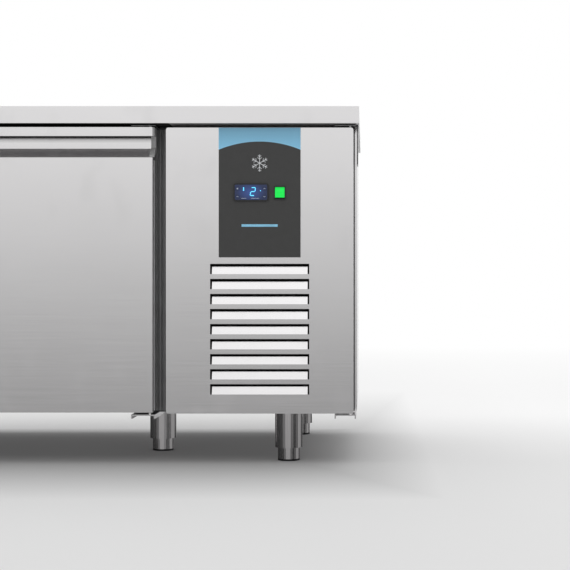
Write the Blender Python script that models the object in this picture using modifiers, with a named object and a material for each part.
"""Refrigerated under-counter unit: two hinged doors, a machine compartment on the right, five adjustable feet.

Frame: metres, +Z up, the front faces -Y, +X is the right-hand side seen from the front. The origin is on the
floor under the middle of the worktop.
"""
import math

import bmesh
import bpy
from mathutils import Matrix, Vector

# ---------------------------------------------------------------- driving dimensions
WIDTH = 1.370
DEPTH = 0.700
HEIGHT = 0.850
WORKTOP_THICKNESS = 0.041
GAP = 0.0003                       # between pieces that touch

SHEET = 0.001                      # folded steel sheet
WORKTOP_SHEET = 0.0012
THIN_SHEET = 0.0008                # casing and liner
UNDERSIDE = HEIGHT - WORKTOP_THICKNESS
CABINET_SIDE = 0.679               # outer face of the sides, from the middle
CABINET_REAR = 0.340
CABINET_BOTTOM = 0.1163
CABINET_TOP = UNDERSIDE - GAP
FRAME_FACE = -0.268                # front face of the body, behind the doors
PARTITION = 0.232                  # right face of the insulated body

BAY_LOW = Vector((-0.616, FRAME_FACE, 0.166))
BAY_HIGH = Vector((0.149, 0.280, 0.760))
MULLION_CENTRE = -0.2389
MULLION_WIDTH = 0.070
MULLION_DEPTH = 0.020

DOOR_FACE = -0.338                 # front plane of the doors and of the service panel
DOOR_BACK = -0.281
DOOR_BOTTOM = 0.121
DOOR_TOP = 0.8013
DOOR_WIDTH = 0.419
DOOR_RIGHT_CENTRE = -0.0170
DOOR_LEFT_CENTRE = -0.4613
HINGE_INSET = 0.008                # hinge axis from the edge of its leaf
HINGE_Y = -0.326
PIN_RADIUS = 0.003

RECESS_DEPTH = 0.029               # handle recess at the top of each door
RECESS_TOP = 0.780
RECESS_SLOPE_TOP = 0.7527
RECESS_SLOPE_BOTTOM = 0.729
CAP_INSIDE = 0.0071                # plastic end cap, inboard and outboard of the door edge
CAP_OUTSIDE = 0.0045

PANEL_LEFT = 0.2245
PANEL_RIGHT = 0.6713
PANEL_BOTTOM = 0.1185
PANEL_TOP = 0.800
PANEL_FOLD = 0.058
PANEL_CORNER = 0.005
PANEL_CENTRE = (PANEL_LEFT + PANEL_RIGHT) / 2

LOUVRE_COUNT = 9
LOUVRE_PITCH = 0.03585
LOUVRE_TOP = 0.4755
LOUVRE_HEIGHT = 0.0245
LOUVRE_WIDTH = 0.236
FLAP_WIDTH = 0.228
FLAP_RISE = 0.0185
FLAP_SET_BACK = 0.008

LABEL_WIDTH = 0.195
LABEL_BOTTOM = 0.4908
LABEL_FRONT = DOOR_FACE - 0.0009
CONTROLLER = (0.4275, 0.6458)       # centre, X and Z
CONTROLLER_SIZE = (0.083, 0.042)
CONTROLLER_BODY = (0.076, 0.034)
CONTROLLER_FRONT = LABEL_FRONT - 0.0035
BUTTON_SIZE = (0.009, 0.007)
BUTTON_OFFSETS = {
    "set": (-0.032, 0.0085),
    "defrost": (-0.032, -0.0105),
    "up": (0.032, 0.0085),
    "down": (0.032, -0.0105),
}
SWITCH = (0.496, 0.6445)
SWITCH_SIZE = (0.0275, 0.032)
SWITCH_BODY = (0.0255, 0.030)
SWITCH_FRONT = LABEL_FRONT - 0.0022
ROCKER_SIZE = (0.0224, 0.0252)
ROCKER_PIVOT_Y = -0.332
ROCKER_TILT = math.radians(7.0)

BRACKET_TOP = 0.116
BRACKET_DROP = 0.010
BRACKET_SHEET = 0.003
BRACKET_REAR = -0.190
DOOR_BRACKET = (0.1412, 0.1985)
PANEL_BRACKET = (0.6263, 0.6773)

FOOT_X = 0.5135
FOOT_FRONT = -0.273
FOOT_REAR = 0.285
FOOT_MIDDLE = (0.1785, -0.080)
SLEEVE_RADIUS = 0.0333
SLEEVE_BORE = 0.0273
SLEEVE_BOTTOM = 0.032
FOOT_RADIUS = 0.02675

SHELF_Z = 0.440
SHELF_SIZE = (0.325, 0.526, 0.006)
SHELF_LEFT_CENTRE = -0.429
SHELF_RIGHT_CENTRE = -0.066
DUCT_FACE = 0.104                  # face of the evaporator's air duct in the right bay
RETURN_SLOTS = 5
EVAPORATOR_FAN = Vector((0.122, 0.035, 0.620))
CONDENSER_LOW = Vector((0.250, -0.230, 0.125))
CONDENSER_HIGH = Vector((0.570, -0.190, 0.445))
CONDENSER_FAN = Vector((0.410, -0.166, 0.285))
SHROUD_REAR = -0.135
BLADES = 5
COMPRESSOR = Vector((0.480, 0.130, 0.0))
REAR_SLOTS = 7
REAR_SLOT_SIZE = (0.300, 0.014)
REAR_SLOT_LOWEST = (0.445, 0.230)  # centre, X and Z
REAR_SLOT_PITCH = 0.045

PLANES = {
    "XY": Matrix.Identity(4),
    "YZ": Matrix(((0, 0, 1, 0), (1, 0, 0, 0), (0, 1, 0, 0), (0, 0, 0, 1))),
    "XZ": Matrix(((1, 0, 0, 0), (0, 0, -1, 0), (0, 1, 0, 0), (0, 0, 0, 1))),
}
NORMALS = {"XY": Vector((0, 0, 1)), "YZ": Vector((1, 0, 0)), "XZ": Vector((0, 1, 0))}

for leftover in list(bpy.data.objects):
    bpy.data.objects.remove(leftover, do_unlink=True)
PARTS = bpy.data.collections.new("under_counter_fridge")
CUTTERS = bpy.data.collections.new("cutters")
bpy.context.scene.collection.children.link(PARTS)
bpy.context.scene.collection.children.link(CUTTERS)


# ---------------------------------------------------------------- materials
def material(name, color, roughness, metallic=0.0):
    """A Principled material with one colour."""
    made = bpy.data.materials.new(name)
    made.use_nodes = True
    shader = made.node_tree.nodes["Principled BSDF"]
    shader.inputs["Base Color"].default_value = (*color, 1.0)
    shader.inputs["Roughness"].default_value = roughness
    shader.inputs["Metallic"].default_value = metallic
    return made


STEEL = material("brushed_steel", (0.62, 0.61, 0.61), 0.32, 1.0)
INNER_STEEL = material("liner_steel", (0.68, 0.68, 0.68), 0.30, 1.0)
LEG_STEEL = material("leg_steel", (0.42, 0.41, 0.41), 0.25, 1.0)
FOAM = material("insulation_foam", (0.85, 0.78, 0.50), 0.90)
BOARD = material("core_board", (0.50, 0.36, 0.22), 0.80)
RUBBER = material("seal_rubber", (0.10, 0.10, 0.11), 0.70)
GREY_PLASTIC = material("cap_plastic", (0.18, 0.18, 0.18), 0.50)
BLACK_PLASTIC = material("black_plastic", (0.02, 0.02, 0.022), 0.40)
LABEL_FILM = material("label_film", (0.063, 0.063, 0.063), 0.55)
LENS = material("display_lens", (0.015, 0.02, 0.05), 0.15)
GREEN = material("rocker_green", (0.01, 0.78, 0.11), 0.30)
BLACK_PAINT = material("black_paint", (0.02, 0.02, 0.02), 0.45, 0.2)
COPPER = material("copper_tube", (0.72, 0.40, 0.25), 0.30, 1.0)
ALUMINIUM = material("aluminium_fins", (0.75, 0.76, 0.77), 0.40, 1.0)


# ---------------------------------------------------------------- shape helpers
def new_object(name, mesh, look):
    """A part; with no look given, a cutter or a joining tool."""
    made = bpy.data.objects.new(name, mesh)
    if look is None:
        CUTTERS.objects.link(made)
        made.hide_render = True
        made.display_type = "WIRE"
    else:
        PARTS.objects.link(made)
        mesh.materials.append(look)
    return made


def box(name, low, high, look=None):
    """A box between two corners."""
    low, high = Vector(low), Vector(high)
    mesh = bpy.data.meshes.new(name)
    shape = bmesh.new()
    bmesh.ops.create_cube(shape, size=1.0)
    bmesh.ops.scale(shape, vec=high - low, verts=shape.verts)
    shape.to_mesh(mesh)
    shape.free()
    made = new_object(name, mesh, look)
    made.location = (low + high) / 2
    return made


def cylinder(name, centre, radius, length, axis="Z", look=None, segments=24):
    """A round bar along X, Y or Z."""
    mesh = bpy.data.meshes.new(name)
    shape = bmesh.new()
    bmesh.ops.create_cone(shape, cap_ends=True, segments=segments, radius1=radius, radius2=radius, depth=length)
    shape.to_mesh(mesh)
    shape.free()
    mesh.shade_smooth()
    mesh.set_sharp_from_angle(angle=math.radians(35))
    made = new_object(name, mesh, look)
    made.location = centre
    if axis == "X":
        made.rotation_euler = (0, math.pi / 2, 0)
    if axis == "Y":
        made.rotation_euler = (math.pi / 2, 0, 0)
    return made


def prism(name, plane, outlines, start, end, look=None):
    """Flat outlines in a plane, extruded from start to end along its normal. Inner outlines are holes."""
    curve = bpy.data.curves.new(name, "CURVE")
    curve.dimensions = "2D"
    curve.fill_mode = "BOTH"
    curve.extrude = (end - start) / 2
    for outline in outlines:
        spline = curve.splines.new("POLY")
        spline.points.add(len(outline) - 1)
        spline.use_cyclic_u = True
        for point, place in zip(spline.points, outline):
            point.co = (place[0], place[1], 0.0, 1.0)
    drawn = bpy.data.objects.new(name, curve)
    CUTTERS.objects.link(drawn)
    graph = bpy.context.evaluated_depsgraph_get()
    mesh = bpy.data.meshes.new_from_object(drawn.evaluated_get(graph))
    bpy.data.objects.remove(drawn)
    shape = bmesh.new()
    shape.from_mesh(mesh)
    bmesh.ops.remove_doubles(shape, verts=shape.verts, dist=1e-6)
    bmesh.ops.recalc_face_normals(shape, faces=shape.faces)
    bmesh.ops.transform(shape, matrix=PLANES[plane], verts=shape.verts)
    shape.to_mesh(mesh)
    shape.free()
    mesh.materials.clear()
    made = new_object(name, mesh, look)
    made.location = NORMALS[plane] * (start + end) / 2
    return made


def turned(name, profile, steps, centre, look=None):
    """A profile of (radius, height) points, its outer side running down, turned about a vertical axis."""
    mesh = bpy.data.meshes.new(name)
    edges = [(index, index + 1) for index in range(len(profile) - 1)]
    mesh.from_pydata([(radius, 0.0, height) for radius, height in profile], edges, [])
    made = new_object(name, mesh, look)
    made.location = centre
    screw = made.modifiers.new("turn", "SCREW")
    screw.steps = steps
    screw.render_steps = steps
    screw.use_merge_vertices = True
    screw.merge_threshold = 0.00001
    screw.use_smooth_shade = True
    return made


def bevel(target, width, segments=2):
    """Rounded edges."""
    edge = target.modifiers.new("edges", "BEVEL")
    edge.width = width
    edge.segments = segments
    edge.limit_method = "ANGLE"
    return target


def combine(target, tool, operation):
    """Cut the target with a tool (DIFFERENCE) or join the tool to it (UNION)."""
    step = target.modifiers.new(operation.lower(), "BOOLEAN")
    step.operation = operation
    step.solver = "EXACT"
    step.object = tool
    return target


def cut(target, tool):
    return combine(target, tool, "DIFFERENCE")


def join(target, tool):
    return combine(target, tool, "UNION")


def rectangle(centre, size):
    """A rectangle's outline."""
    half_u, half_v = size[0] / 2, size[1] / 2
    corners = ((-1, -1), (1, -1), (1, 1), (-1, 1))
    return [(centre[0] + u * half_u, centre[1] + v * half_v) for u, v in corners]


def rounded_rectangle(centre, size, radius, steps=3):
    """A rectangle's outline with round corners."""
    points = []
    for quarter, (u, v) in enumerate(((1, 1), (-1, 1), (-1, -1), (1, -1))):
        corner_u = centre[0] + u * (size[0] / 2 - radius)
        corner_v = centre[1] + v * (size[1] / 2 - radius)
        for step in range(steps + 1):
            angle = (quarter + step / steps) * math.pi / 2
            points.append((corner_u + radius * math.cos(angle), corner_v + radius * math.sin(angle)))
    return points


def offset_path(path, distance):
    """The open path moved sideways, to the right of its direction of travel, with mitred corners."""
    path = [Vector(point) for point in path]
    moved = []
    for index, point in enumerate(path):
        before = (path[max(index, 1)] - path[max(index, 1) - 1]).normalized()
        last = min(index, len(path) - 2)
        after = (path[last + 1] - path[last]).normalized()
        right_before = Vector((before.y, -before.x))
        right_after = Vector((after.y, -after.x))
        mitre = (right_before + right_after).normalized()
        moved.append(tuple(point + mitre * (distance / mitre.dot(right_before))))
    return moved


def folded_sheet(path, thickness):
    """The closed outline of a sheet folded along a path, its thickness to the right of the path."""
    return list(path) + offset_path(path, thickness)[::-1]


def pivot(name, place):
    """An empty on a joint's axis."""
    made = bpy.data.objects.new(name, None)
    PARTS.objects.link(made)
    made.location = place
    return made


def hang(parent, *pieces):
    """Parent pieces to an empty that only has a location, keeping them where they are."""
    for piece in pieces:
        piece.parent = parent
        piece.location = piece.location - parent.location


# ---------------------------------------------------------------- cabinet
def build_worktop():
    half = Vector((WIDTH / 2, DEPTH / 2, 0))
    top = box("worktop_top", (-half.x, -half.y, UNDERSIDE), (half.x, half.y, HEIGHT), STEEL)
    bevel(top, 0.0006)
    inset = Vector((WORKTOP_SHEET, WORKTOP_SHEET, 0))
    ceiling = HEIGHT - WORKTOP_SHEET
    hollow_low, hollow_high = inset - half, half - inset
    cut(top, box("worktop_hollow", (*hollow_low.xy, UNDERSIDE - 0.01), (*hollow_high.xy, ceiling)))
    board_low = (hollow_low.x + GAP, hollow_low.y + GAP, UNDERSIDE + GAP)
    board_high = (hollow_high.x - GAP, hollow_high.y - GAP, ceiling - GAP)
    box("worktop_board", board_low, board_high, BOARD)


def grown(low, high, amount):
    """A box's corners with every side moved out by an amount."""
    step = Vector((amount, amount, amount))
    return Vector(low) - step, Vector(high) + step


def build_insulated_body():
    """Outer casing, foam and inner liner of the refrigerated part, open at the front."""
    outer_low = Vector((-CABINET_SIDE, FRAME_FACE, CABINET_BOTTOM))
    outer_high = Vector((PARTITION, CABINET_REAR, CABINET_TOP))
    casing = box("outer_casing", outer_low, outer_high, STEEL)
    cut(casing, box("casing_inside", *grown(outer_low, outer_high, -THIN_SHEET)))
    mouth_low = (BAY_LOW.x, FRAME_FACE - 0.01, BAY_LOW.z)
    mouth_high = (BAY_HIGH.x, FRAME_FACE + 0.02, BAY_HIGH.z)
    cut(casing, box("casing_mouth", mouth_low, mouth_high))

    foam_low, foam_high = grown(outer_low, outer_high, -THIN_SHEET - GAP)
    foam = box("insulation_foam", foam_low, foam_high, FOAM)
    hollow_low, hollow_high = grown(BAY_LOW, BAY_HIGH, THIN_SHEET + GAP)
    hollow_low.y = FRAME_FACE - 0.01
    cut(foam, box("foam_hollow", hollow_low, hollow_high))

    liner_low, liner_high = grown(BAY_LOW, BAY_HIGH, THIN_SHEET)
    liner_low.y = FRAME_FACE + THIN_SHEET + GAP
    liner = box("inner_liner", liner_low, liner_high, INNER_STEEL)
    inside_low = (BAY_LOW.x, FRAME_FACE - 0.01, BAY_LOW.z)
    cut(liner, box("liner_inside", inside_low, BAY_HIGH))

    half = MULLION_WIDTH / 2
    mullion_low = (MULLION_CENTRE - half, FRAME_FACE, BAY_LOW.z + GAP)
    mullion_high = (MULLION_CENTRE + half, FRAME_FACE + MULLION_DEPTH, BAY_HIGH.z - GAP)
    bevel(box("centre_mullion", mullion_low, mullion_high, STEEL), 0.0015, 1)


def build_machine_compartment():
    """Side and rear sheet in one fold, and the base tray."""
    left = PARTITION + GAP
    path = [(CABINET_SIDE - 0.021, FRAME_FACE), (CABINET_SIDE, FRAME_FACE), (CABINET_SIDE, CABINET_REAR),
            (left, CABINET_REAR)]
    outline = list(path) + offset_path(path, -SHEET)[::-1]
    housing = prism("machine_housing", "XY", [outline], CABINET_BOTTOM + 0.0025, CABINET_TOP, STEEL)
    slots = []
    for index in range(REAR_SLOTS):
        centre = (REAR_SLOT_LOWEST[0], REAR_SLOT_LOWEST[1] + REAR_SLOT_PITCH * index)
        slots.append(rectangle(centre, REAR_SLOT_SIZE))
    cut(housing, prism("rear_slots", "XZ", slots, CABINET_REAR - 0.01, CABINET_REAR + 0.01))
    tray_path = [(FRAME_FACE + 0.0015, CABINET_BOTTOM + 0.030), (FRAME_FACE + 0.0015, CABINET_BOTTOM),
                 (CABINET_REAR, CABINET_BOTTOM)]
    tray = list(tray_path) + offset_path(tray_path, -0.002)[::-1]
    prism("machine_base", "YZ", [tray], left, CABINET_SIDE - SHEET - GAP, STEEL)


def build_lower_bracket(name, span, axis_x):
    """An inverted channel under the body with an upright hinge pin."""
    low, high = span
    path = [(low, BRACKET_TOP - BRACKET_DROP), (low, BRACKET_TOP), (high, BRACKET_TOP),
            (high, BRACKET_TOP - BRACKET_DROP)]
    outline = folded_sheet(path, BRACKET_SHEET)
    bracket = prism(name, "XZ", [outline], DOOR_FACE + 0.001, BRACKET_REAR, STEEL)
    pin_height = 0.020
    centre = (axis_x, HINGE_Y, BRACKET_TOP - 0.001 + pin_height / 2)
    join(bracket, cylinder(name + "_pin", centre, PIN_RADIUS, pin_height, segments=16))


def build_upper_bracket(name, span, axis_x):
    """A plate under the worktop with a hinge pin pointing down."""
    thickness = 0.0037
    low = (span[0], DOOR_FACE + 0.007, UNDERSIDE - GAP - thickness)
    high = (span[1], FRAME_FACE - 0.0006, UNDERSIDE - GAP)
    plate = box(name, low, high, STEEL)
    pin_length = 0.017
    centre = (axis_x, HINGE_Y, low[2] + 0.001 - pin_length / 2)
    join(plate, cylinder(name + "_pin", centre, PIN_RADIUS, pin_length, segments=16))


def build_brackets():
    door_axis = DOOR_RIGHT_CENTRE + DOOR_WIDTH / 2 - HINGE_INSET
    left_axis = DOOR_LEFT_CENTRE - DOOR_WIDTH / 2 + HINGE_INSET
    panel_axis = PANEL_RIGHT - HINGE_INSET
    left_bracket = (-PANEL_BRACKET[1], -PANEL_BRACKET[0])
    leaves = {
        "door_right": (DOOR_BRACKET, door_axis),
        "door_left": (left_bracket, left_axis),
        "panel": (PANEL_BRACKET, panel_axis),
    }
    for leaf, (span, axis_x) in leaves.items():
        build_lower_bracket(leaf + "_lower_bracket", span, axis_x)
        build_upper_bracket(leaf + "_upper_bracket", span, axis_x)


def build_feet():
    """Five legs: a fixed sleeve and a foot that screws out of it."""
    places = {
        "front_right": (FOOT_X, FOOT_FRONT),
        "rear_right": (FOOT_X, FOOT_REAR),
        "middle": FOOT_MIDDLE,
        "front_left": (-FOOT_X, FOOT_FRONT),
        "rear_left": (-FOOT_X, FOOT_REAR),
    }
    top = BRACKET_TOP
    sleeve = [(0, top), (SLEEVE_RADIUS, top), (SLEEVE_RADIUS, SLEEVE_BOTTOM), (SLEEVE_BORE, SLEEVE_BOTTOM),
              (SLEEVE_BORE, top - 0.006), (0, top - 0.006)]
    foot = [(0, 0.098), (FOOT_RADIUS, 0.098), (FOOT_RADIUS, 0.0006), (FOOT_RADIUS - 0.0006, 0), (0, 0)]
    for place, (x, y) in places.items():
        turned("leg_sleeve_" + place, sleeve, 32, (x, y, 0), LEG_STEEL)
        turned("foot_" + place, foot, 32, (x, y, 0), LEG_STEEL)


# ---------------------------------------------------------------- inside the fridge
def build_shelves():
    shelf_width, shelf_depth, shelf_thickness = SHELF_SIZE
    middle_y = 0.0162
    slot_count, slot_pitch, slot_width, rim = 10, 0.031, 0.025, 0.008
    for name, centre_x in (("shelf_left", SHELF_LEFT_CENTRE), ("shelf_right", SHELF_RIGHT_CENTRE)):
        slots = []
        for index in range(slot_count):
            x = centre_x + (index - (slot_count - 1) / 2) * slot_pitch
            slots.append(rectangle((x, middle_y), (slot_width, shelf_depth - 2 * rim)))
        frame = rectangle((centre_x, middle_y), (shelf_width, shelf_depth))
        prism(name, "XY", [frame] + slots, SHELF_Z, SHELF_Z + shelf_thickness, INNER_STEEL)

    ledge = SHELF_Z - GAP
    thickness = 0.0015
    upright = ledge + 0.030
    front, rear = BAY_LOW.y + 0.015, BAY_HIGH.y - 0.002
    wall = BAY_LOW.x + GAP
    left_path = [(wall, upright), (wall, ledge - thickness), (wall + 0.036, ledge - thickness)]
    left = list(left_path) + offset_path(left_path, -thickness)[::-1]
    prism("shelf_runner_left", "XZ", [left], front, rear, INNER_STEEL)
    duct = DUCT_FACE - GAP
    right_path = [(duct, upright), (duct, ledge - thickness), (duct - 0.016, ledge - thickness)]
    prism("shelf_runner_right", "XZ", [folded_sheet(right_path, thickness)], -0.190, rear, INNER_STEEL)
    overlap = 0.010
    left_tip = SHELF_LEFT_CENTRE + shelf_width / 2 - overlap
    right_tip = SHELF_RIGHT_CENTRE - shelf_width / 2 + overlap
    web_left = MULLION_CENTRE - 0.008 - thickness / 2
    web_right = web_left + thickness
    tee = [(left_tip, ledge - thickness), (right_tip, ledge - thickness), (right_tip, ledge),
           (web_right, ledge), (web_right, upright), (web_left, upright), (web_left, ledge), (left_tip, ledge)]
    behind_mullion = FRAME_FACE + MULLION_DEPTH + GAP
    prism("shelf_runner_centre", "XZ", [tee], behind_mullion, rear, INNER_STEEL)


def fan_wheel(name, centre, axis, hub_radius, tip_radius, depth, chord, look):
    """A hub with pitched blades, its origin on its axis."""
    hub = cylinder(name, centre, hub_radius, depth, axis, look, segments=20)
    turn_axis = Vector((1, 0, 0)) if axis == "X" else Vector((0, 1, 0))
    root = hub_radius * 0.7
    span = tip_radius - root
    half_thickness = 0.0008
    for index in range(BLADES):
        low, high = (-half_thickness, -chord / 2, 0), (half_thickness, chord / 2, span)
        blade = box(name + "_blade_%d" % index, low, high)
        pitch = Matrix.Rotation(math.radians(32 if axis == "X" else 58), 4, "Z")
        swing = Matrix.Rotation(index * math.tau / BLADES, 4, turn_axis)
        reach = Matrix.Translation((0, 0, root + span / 2))
        blade.matrix_basis = Matrix.Translation(centre) @ swing @ reach @ pitch
        join(hub, blade)


def build_evaporator():
    """Air duct on the right wall of the bay with the coil and the fan behind it."""
    low = Vector((DUCT_FACE, -0.200, 0.180))
    high = Vector((BAY_HIGH.x - GAP, 0.278, 0.750))
    duct = box("evaporator_duct", low, high, INNER_STEEL)
    inside_low = low + Vector((SHEET, SHEET, SHEET))
    inside_high = high + Vector((0.01, -SHEET, -SHEET))
    cut(duct, box("duct_inside", inside_low, inside_high))
    mouth_centre = (DUCT_FACE, EVAPORATOR_FAN.y, EVAPORATOR_FAN.z)
    cut(duct, cylinder("duct_mouth", mouth_centre, 0.079, 0.02, "X", segments=32))
    returns = []
    for index in range(RETURN_SLOTS):
        returns.append(rectangle((0.040, 0.205 + 0.022 * index), (0.380, 0.010)))
    cut(duct, prism("duct_returns", "YZ", returns, DUCT_FACE - 0.01, DUCT_FACE + 0.01))
    coil_low = (DUCT_FACE + 0.006, -0.170, 0.320)
    coil_high = (BAY_HIGH.x - 0.004, 0.250, 0.520)
    box("evaporator_coil", coil_low, coil_high, ALUMINIUM)
    fan_wheel("evaporator_fan_wheel", EVAPORATOR_FAN, "X", 0.022, 0.074, 0.026, 0.036, BLACK_PLASTIC)


# ---------------------------------------------------------------- machine compartment
def build_condenser():
    box("condenser_coil", CONDENSER_LOW, CONDENSER_HIGH, ALUMINIUM)
    low = Vector((CONDENSER_LOW.x, CONDENSER_HIGH.y + GAP, CONDENSER_LOW.z))
    high = Vector((CONDENSER_HIGH.x, SHROUD_REAR, CONDENSER_HIGH.z))
    shroud = box("fan_shroud", low, high, BLACK_PAINT)
    inside_low = low + Vector((0.0015, -0.01, 0.0015))
    inside_high = high - Vector((0.0015, 0.0015, 0.0015))
    cut(shroud, box("shroud_inside", inside_low, inside_high))
    centre = (CONDENSER_FAN.x, SHROUD_REAR, CONDENSER_FAN.z)
    cut(shroud, cylinder("shroud_ring", centre, 0.124, 0.03, "Y", segments=40))
    motor_y = SHROUD_REAR + 0.010
    for index in range(3):
        arm = box("motor_arm_%d" % index, (-0.006, -0.0015, 0), (0.006, 0.0015, 0.140))
        swing = Matrix.Rotation(math.radians(50 + index * 120), 4, "Y")
        arm_centre = Vector((centre[0], SHROUD_REAR - 0.0004, centre[2]))
        arm.matrix_basis = Matrix.Translation(arm_centre) @ swing @ Matrix.Translation((0, 0, 0.070))
        join(shroud, arm)
    join(shroud, cylinder("motor_can", (centre[0], motor_y + 0.020, centre[2]), 0.040, 0.060, "Y"))
    fan_wheel("condenser_fan_wheel", CONDENSER_FAN, "Y", 0.030, 0.118, 0.024, 0.056, BLACK_PLASTIC)


def build_compressor():
    floor = CABINET_BOTTOM + 0.0026
    profile = [(0, 0.170), (0.045, 0.166), (0.066, 0.152), (0.078, 0.128), (0.080, 0.100), (0.080, 0.040),
               (0.074, 0.020), (0.060, 0.012), (0, 0.010)]
    can = turned("compressor", profile, 28, COMPRESSOR + Vector((0, 0, floor)), BLACK_PAINT)
    foot_low = COMPRESSOR + Vector((-0.100, -0.070, floor))
    foot_high = COMPRESSOR + Vector((0.100, 0.070, floor + 0.014))
    join(can, box("compressor_foot", foot_low, foot_high))

    tray = box("drain_tray", (0.240, 0.190, floor), (0.375, 0.325, floor + 0.045), BLACK_PLASTIC)
    cut(tray, box("drain_tray_inside", (0.243, 0.193, floor + 0.003), (0.372, 0.322, floor + 0.080)))


def build_refrigerant_line():
    """Copper line from the compressor to the partition with the drier as its swollen stretch."""
    line = bpy.data.curves.new("refrigerant_line", "CURVE")
    line.dimensions = "3D"
    line.bevel_depth = 0.004
    line.bevel_resolution = 2
    line.use_fill_caps = True
    line.materials.append(COPPER)
    course = [(0.384, 0.110, 0.235, 1), (0.350, 0.110, 0.235, 1), (0.320, 0.095, 0.245, 1),
              (0.305, 0.060, 0.300, 1), (0.300, 0.055, 0.330, 1), (0.300, 0.054, 0.345, 3),
              (0.300, 0.052, 0.430, 3), (0.300, 0.052, 0.445, 1), (0.300, 0.050, 0.540, 1),
              (0.285, 0.048, 0.575, 1), (0.250, 0.046, 0.590, 1), (PARTITION + 0.002, 0.045, 0.590, 1)]
    spline = line.splines.new("POLY")
    spline.points.add(len(course) - 1)
    for point, (x, y, z, swell) in zip(spline.points, course):
        point.co = (x, y, z, 1.0)
        point.radius = swell
    made = bpy.data.objects.new("refrigerant_line", line)
    PARTS.objects.link(made)


# ---------------------------------------------------------------- doors
def door_sections():
    """Outlines of a door in the YZ plane: skin, its hollow, and the foam."""
    wall = DOOR_FACE + RECESS_DEPTH
    lip = DOOR_FACE + SHEET
    hem = DOOR_FACE + 0.004
    shell = [(DOOR_BACK, DOOR_BOTTOM), (DOOR_FACE, DOOR_BOTTOM), (DOOR_FACE, RECESS_SLOPE_BOTTOM),
             (wall, RECESS_SLOPE_TOP), (wall, DOOR_TOP - SHEET), (lip, DOOR_TOP - SHEET),
             (lip, RECESS_TOP + SHEET), (hem, RECESS_TOP + SHEET), (hem, RECESS_TOP + 0.005),
             (hem + SHEET, RECESS_TOP + 0.005), (hem + SHEET, RECESS_TOP), (DOOR_FACE, RECESS_TOP),
             (DOOR_FACE, DOOR_TOP), (DOOR_BACK, DOOR_TOP)]
    outside = [(DOOR_FACE, DOOR_BOTTOM), (DOOR_FACE, RECESS_SLOPE_BOTTOM), (wall, RECESS_SLOPE_TOP),
               (wall, DOOR_TOP)]

    def inside(back, inset):
        path = [(back, DOOR_BOTTOM)] + outside + [(back, DOOR_TOP)]
        return offset_path(path, inset)

    return shell, inside(DOOR_BACK + 0.010, SHEET), inside(DOOR_BACK - 0.0018, SHEET + GAP)


def build_end_cap(name, edge, outward, axis_x=None):
    """Plastic end cap of the handle recess; outward is the X direction away from the door."""
    wall = DOOR_FACE + RECESS_DEPTH - GAP
    front = wall - 0.0035
    hem_clear = DOOR_FACE + 0.0055
    hem_top = RECESS_TOP + 0.006
    slope = [(DOOR_FACE + 0.0003, RECESS_SLOPE_BOTTOM + 0.0006), (wall, RECESS_SLOPE_TOP + 0.0004)]
    lining = [(hem_clear, hem_top), (front, hem_top), (front, RECESS_SLOPE_TOP + 0.0022),
              (slope[0][0], slope[0][1] + 0.0045), slope[0], slope[1], (wall, DOOR_TOP - SHEET - GAP),
              (hem_clear, DOOR_TOP - SHEET - GAP)]
    cheek = [(DOOR_FACE + 0.0005, DOOR_TOP - 0.0005), (DOOR_FACE + 0.0005, RECESS_TOP + 0.0005),
             (front, RECESS_TOP + 0.0005), (front, RECESS_SLOPE_TOP + 0.0022),
             (slope[0][0], slope[0][1] + 0.0045), slope[0], (wall + 0.012, RECESS_SLOPE_TOP - 0.002),
             (wall + 0.012, DOOR_TOP - 0.0005)]
    spans = sorted((edge - outward * CAP_INSIDE, edge + outward * 0.0012))
    cap = prism(name, "YZ", [lining], *spans, GREY_PLASTIC)
    spans = sorted((edge + outward * GAP, edge + outward * CAP_OUTSIDE))
    join(cap, prism(name + "_cheek", "YZ", [cheek], *spans))
    if axis_x is not None:
        spans = sorted((axis_x - outward * 0.009, edge - outward * 0.004))
        bush_low = (spans[0], hem_clear + 0.0005, hem_top + 0.001)
        bush_high = (spans[1], wall - 0.0005, DOOR_TOP - SHEET - GAP - 0.0005)
        join(cap, box(name + "_bush", bush_low, bush_high))
        pin_hole = (axis_x, HINGE_Y, DOOR_TOP - 0.006)
        cut(cap, cylinder(name + "_pin_hole", pin_hole, PIN_RADIUS + 0.0007, 0.030, segments=16))
    return cap


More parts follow.
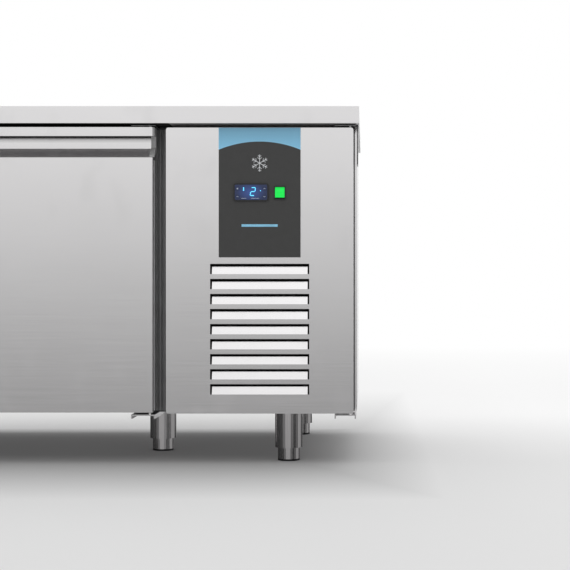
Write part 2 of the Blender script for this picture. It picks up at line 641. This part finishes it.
def build_door(name, centre_x, outward):
    """One door; outward is the X direction from its free edge to its hinge edge."""
    half = DOOR_WIDTH / 2
    axis_x = centre_x + outward * (half - HINGE_INSET)
    low_x, high_x = centre_x - half, centre_x + half
    shell, hollow, core = door_sections()
    skin = prism(name + "_skin", "YZ", [shell], low_x, high_x, STEEL)
    cut(skin, prism(name + "_hollow", "YZ", [hollow], low_x + SHEET, high_x - SHEET))
    pin_clearance = PIN_RADIUS + 0.0015
    for end, height in (("lower", DOOR_BOTTOM), ("upper", DOOR_TOP)):
        pin_way = (axis_x, HINGE_Y, height)
        cut(skin, cylinder(name + "_" + end + "_pin_way", pin_way, pin_clearance, 0.008, segments=16))

    inset = SHEET + GAP
    foam = prism(name + "_foam", "YZ", [core], low_x + inset, high_x - inset, FOAM)
    cut(foam, cylinder(name + "_foam_hole", (axis_x, HINGE_Y, DOOR_BOTTOM), 0.0055, 0.044, segments=16))

    liner_low = (low_x + inset, DOOR_BACK - 0.0015, DOOR_BOTTOM + inset)
    liner_high = (high_x - inset, DOOR_BACK, DOOR_TOP - inset)
    liner = box(name + "_liner", liner_low, liner_high, INNER_STEEL)
    seal_low = (low_x + 0.006, DOOR_BOTTOM + 0.012)
    seal_high = (high_x - 0.006, DOOR_TOP - 0.012)
    if outward > 0:
        seal_high = (axis_x - 0.008, seal_high[1])
    else:
        seal_low = (axis_x + 0.008, seal_low[1])
    seal_width = 0.014
    raised = seal_width + 0.006
    pad_low = (seal_low[0] + raised, DOOR_BACK - 0.001, seal_low[1] + raised)
    pad_high = (seal_high[0] - raised, DOOR_BACK + 0.005, seal_high[1] - raised)
    join(liner, bevel(box(name + "_liner_pad", pad_low, pad_high), 0.003, 1))

    size = (seal_high[0] - seal_low[0], seal_high[1] - seal_low[1])
    middle = ((seal_high[0] + seal_low[0]) / 2, (seal_high[1] + seal_low[1]) / 2)
    outer = rectangle(middle, size)
    inner = rectangle(middle, (size[0] - 2 * seal_width, size[1] - 2 * seal_width))
    gasket = prism(name + "_gasket", "XZ", [outer, inner], DOOR_BACK + GAP, FRAME_FACE - 0.0006, RUBBER)

    hinge_cap = build_end_cap(name + "_hinge_cap", centre_x + outward * half, outward, axis_x)
    free_cap = build_end_cap(name + "_free_cap", centre_x - outward * half, -outward)
    hinge = pivot(name + "_hinge", (axis_x, HINGE_Y, DOOR_BOTTOM))
    hang(hinge, skin, foam, liner, gasket, hinge_cap, free_cap)


# ---------------------------------------------------------------- service panel
def build_panel_skin():
    """Folded sheet with lanced louvres; each flap is bent in along its lower edge."""
    centre = (PANEL_CENTRE, (PANEL_BOTTOM + PANEL_TOP) / 2)
    size = (PANEL_RIGHT - PANEL_LEFT, PANEL_TOP - PANEL_BOTTOM)
    outside = rounded_rectangle(centre, size, PANEL_CORNER, 2)
    skin = prism("service_panel_skin", "XZ", [outside], DOOR_FACE, DOOR_FACE + PANEL_FOLD, STEEL)
    inner_size = (size[0] - 2 * SHEET, size[1] - 2 * SHEET)
    inside = rounded_rectangle(centre, inner_size, PANEL_CORNER - SHEET, 2)
    cut(skin, prism("panel_inside", "XZ", [inside], DOOR_FACE + SHEET, DOOR_FACE + PANEL_FOLD + 0.01))

    openings = [rectangle(CONTROLLER, (CONTROLLER_BODY[0] + 0.0006, CONTROLLER_BODY[1] + 0.0006)),
                rectangle(SWITCH, (SWITCH_BODY[0] + 0.0006, SWITCH_BODY[1] + 0.0006))]
    flaps = []
    for index in range(LOUVRE_COUNT):
        top = LOUVRE_TOP - index * LOUVRE_PITCH
        bottom = top - LOUVRE_HEIGHT
        openings.append(rectangle((PANEL_CENTRE, (top + bottom) / 2), (LOUVRE_WIDTH, LOUVRE_HEIGHT)))
        flaps.append([(DOOR_FACE + 0.0001, bottom - 0.001), (DOOR_FACE + FLAP_SET_BACK, bottom + FLAP_RISE),
                      (DOOR_FACE + FLAP_SET_BACK + 0.0008, bottom + FLAP_RISE - 0.0006),
                      (DOOR_FACE + 0.0009, bottom - 0.001)])
    cut(skin, prism("panel_openings", "XZ", openings, DOOR_FACE - 0.005, DOOR_FACE + 0.005))
    half_flap = FLAP_WIDTH / 2
    join(skin, prism("louvre_flaps", "YZ", flaps, PANEL_CENTRE - half_flap, PANEL_CENTRE + half_flap))
    axis_x = PANEL_RIGHT - HINGE_INSET
    pin_way = (axis_x, HINGE_Y, centre[1])
    cut(skin, cylinder("panel_pin_way", pin_way, PIN_RADIUS + 0.0015, size[1] + 0.02, segments=16))
    return skin


def build_label():
    top = PANEL_TOP - GAP
    outline = rectangle((PANEL_CENTRE, (LABEL_BOTTOM + top) / 2), (LABEL_WIDTH, top - LABEL_BOTTOM))
    holes = [rectangle(CONTROLLER, (CONTROLLER_BODY[0] + 0.0006, CONTROLLER_BODY[1] + 0.0006)),
             rectangle(SWITCH, (SWITCH_BODY[0] + 0.0006, SWITCH_BODY[1] + 0.0006))]
    return prism("label_plate", "XZ", [outline] + holes, LABEL_FRONT, DOOR_FACE - GAP, LABEL_FILM)


def button_outlines(clearance):
    """The four buttons' outlines, each side grown by a clearance."""
    size = (BUTTON_SIZE[0] + 2 * clearance, BUTTON_SIZE[1] + 2 * clearance)
    outlines = []
    for u, v in BUTTON_OFFSETS.values():
        outlines.append(rectangle((CONTROLLER[0] + u, CONTROLLER[1] + v), size))
    return outlines


def build_controller():
    """Thermostat: housing through the panel, lens, and four buttons that press in."""
    front = CONTROLLER_FRONT
    rim = rounded_rectangle(CONTROLLER, CONTROLLER_SIZE, 0.005)
    housing = prism("controller_housing", "XZ", [rim], front, LABEL_FRONT - GAP, BLACK_PLASTIC)
    body = prism("controller_body", "XZ", [rectangle(CONTROLLER, CONTROLLER_BODY)], front + 0.002, -0.285)
    join(housing, body)
    lens_size = (CONTROLLER_SIZE[0] - 0.006, CONTROLLER_SIZE[1] - 0.006)
    seat_size = (lens_size[0] + 0.0006, lens_size[1] + 0.0006)
    seat_floor = front + 0.0013
    seat = rounded_rectangle(CONTROLLER, seat_size, 0.0033)
    cut(housing, prism("lens_seat", "XZ", [seat], front - 0.005, seat_floor))
    well_floor = front + 0.0040
    cut(housing, prism("button_wells", "XZ", button_outlines(GAP), front - 0.005, well_floor))
    lens_outline = rounded_rectangle(CONTROLLER, lens_size, 0.003)
    lens = prism("controller_lens", "XZ", [lens_outline] + button_outlines(GAP), front + 0.0002,
                 seat_floor - 0.0002, LENS)
    buttons = []
    for name, outline in zip(BUTTON_OFFSETS, button_outlines(0.0)):
        buttons.append(prism("button_" + name, "XZ", [outline], front - 0.0003, front + 0.0028, LENS))
    return [housing, lens], buttons


def build_switch():
    """Rocker switch body and its rocker, shown pressed in at the top."""
    bezel = prism("switch_bezel", "XZ", [rectangle(SWITCH, SWITCH_SIZE)], SWITCH_FRONT, LABEL_FRONT - GAP,
                  BLACK_PLASTIC)
    body = prism("switch_body", "XZ", [rectangle(SWITCH, SWITCH_BODY)], SWITCH_FRONT + 0.001, -0.312)
    join(bezel, body)
    well_size = (ROCKER_SIZE[0] + 0.0006, 0.0280)
    cut(bezel, prism("switch_well", "XZ", [rectangle(SWITCH, well_size)], SWITCH_FRONT - 0.01, -0.326))
    ridge, edge = -0.0105, -0.0089
    stem_front, stem_back, stem_half = -0.003, 0.003, 0.009
    half = ROCKER_SIZE[1] / 2
    rocker_section = [(ridge, 0), (edge, half), (stem_front, stem_half), (stem_back, stem_half),
                      (stem_back, -stem_half), (stem_front, -stem_half), (edge, -half)]
    tilted = []
    for y, z in rocker_section:
        turned_y = y * math.cos(ROCKER_TILT) + z * math.sin(ROCKER_TILT)
        turned_z = z * math.cos(ROCKER_TILT) - y * math.sin(ROCKER_TILT)
        tilted.append((ROCKER_PIVOT_Y + turned_y, SWITCH[1] + turned_z))
    span = (SWITCH[0] - ROCKER_SIZE[0] / 2, SWITCH[0] + ROCKER_SIZE[0] / 2)
    rocker = prism("switch_rocker", "YZ", [tilted], *span, GREEN)
    return bezel, rocker


def build_service_panel():
    skin = build_panel_skin()
    label = build_label()
    controller, buttons = build_controller()
    bezel, rocker = build_switch()
    hinge = pivot("service_panel_hinge", (PANEL_RIGHT - HINGE_INSET, HINGE_Y, PANEL_BOTTOM))
    hang(hinge, skin, label, *controller, bezel)
    rocker_pivot = pivot("rocker_pivot", (SWITCH[0], ROCKER_PIVOT_Y, SWITCH[1]))
    hang(rocker_pivot, rocker)
    button_guide = pivot("button_guide", (CONTROLLER[0], CONTROLLER_FRONT, CONTROLLER[1]))
    hang(button_guide, *buttons)
    hang(hinge, rocker_pivot, button_guide)


build_worktop()
build_insulated_body()
build_machine_compartment()
build_brackets()
build_feet()
build_shelves()
build_evaporator()
build_condenser()
build_compressor()
build_refrigerant_line()
build_door("door_right", DOOR_RIGHT_CENTRE, 1)
build_door("door_left", DOOR_LEFT_CENTRE, -1)
build_service_panel()
